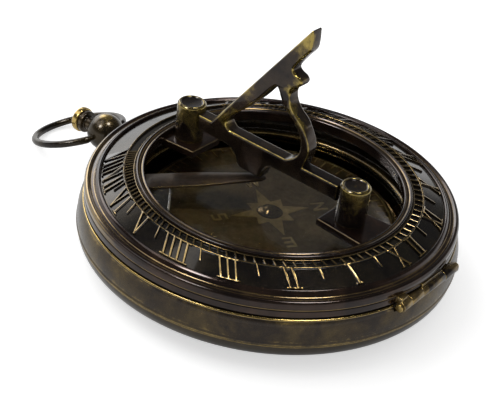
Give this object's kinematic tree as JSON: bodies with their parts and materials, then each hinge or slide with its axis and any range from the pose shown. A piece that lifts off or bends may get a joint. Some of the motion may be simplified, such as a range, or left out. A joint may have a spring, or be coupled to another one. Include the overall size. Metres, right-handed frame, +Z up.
{
  "type": "pocket sundial compass",
  "caption": "Round brass pocket compass under glass with a hinged ring lid that carries a Roman hour ring and a folding gnomon, a ball crown with push button and a swinging bow.",
  "frame": {"origin": "middle of the flat land under the case, on which the compass rests", "axes": "+Z up out of the base, +Y from the hinge towards the ball crown and bow, +X completes a right-handed frame and is parallel to the hinge pin"},
  "size_m": [0.074, 0.0984, 0.0502],
  "materials": {
    "back_patina": "dark antiqued brass, smooth and grey-brown",
    "belt_patina": "mottled brown antiqued brass with bright worn edges",
    "lid_patina": "glossy near-black antiqued brass with worn golden edges",
    "dial_patina": "near-black ground with raised bronze numerals and ticks",
    "gnomon_patina": "satin dark brass with worn golden edges and tip",
    "worn_brass": "handled brass, worn golden on its edges",
    "inner_brass": "dull turned brass behind glass",
    "spring_bronze": "dark rolled bronze strip",
    "steel": "blued grey steel",
    "card_paint": "matt black paint, aged",
    "card_ink": "pale gold print",
    "glass": "clear flat glass"
  },
  "bodies": {
    "case": {"case_back": "back_patina", "case_belt": "belt_patina", "case_knuckles": "worn_brass", "hinge_pin": "worn_brass", "dial_plate": "inner_brass", "dial_screws": "inner_brass", "degree_ring": "inner_brass", "pivot_post": "inner_brass", "pivot_nut": "inner_brass", "glass_pane": "glass", "glass_retainer": "inner_brass", "glass_bezel": "belt_patina", "crown_collar": "belt_patina", "crown_ball": "belt_patina", "button_spring": "steel"},
    "card": {"compass_card": "card_paint", "card_rose": "card_ink", "card_magnets": "steel", "card_cap": "inner_brass"},
    "lid": {"lid_ring": "lid_patina", "hour_ring": "dial_patina", "lid_knuckles": "worn_brass", "lid_catch": "worn_brass", "gnomon_posts": "gnomon_patina", "post_rivets": "worn_brass", "gnomon_pins": "worn_brass", "leaf_spring": "spring_bronze", "spring_screws": "worn_brass"},
    "gnomon": {"gnomon": "gnomon_patina"},
    "button": {"push_button": "worn_brass", "latch_hook": "worn_brass"},
    "bow": {"bow_ring": "belt_patina"}
  },
  "joints": [
    {"name": "lid_hinge", "type": "hinge", "parent": "case", "child": "lid", "pos_m": [0, -0.036, 0.01159], "axis": [1, 0, 0], "range_deg": [0, 105]},
    {"name": "gnomon_fold", "type": "hinge", "parent": "lid", "child": "gnomon", "pos_m": [0, 0, 0.02141], "axis": [0, 1, 0], "range_deg": [-90, 90]},
    {"name": "card_spin", "type": "hinge", "parent": "case", "child": "card", "pos_m": [0, 0, 0.0083], "axis": [0, 0, 1], "continuous": true},
    {"name": "button_press", "type": "slide", "parent": "case", "child": "button", "axis": [0, -1, 0], "range_m": [0, 0.0012], "stiffness_N_per_m": 400, "deforming": ["button_spring"]},
    {"name": "bow_swing", "type": "hinge", "parent": "case", "child": "bow", "pos_m": [0, 0.0441, 0.00715], "axis": [1, 0, 0], "range_deg": [-60, 125]}
  ]
}
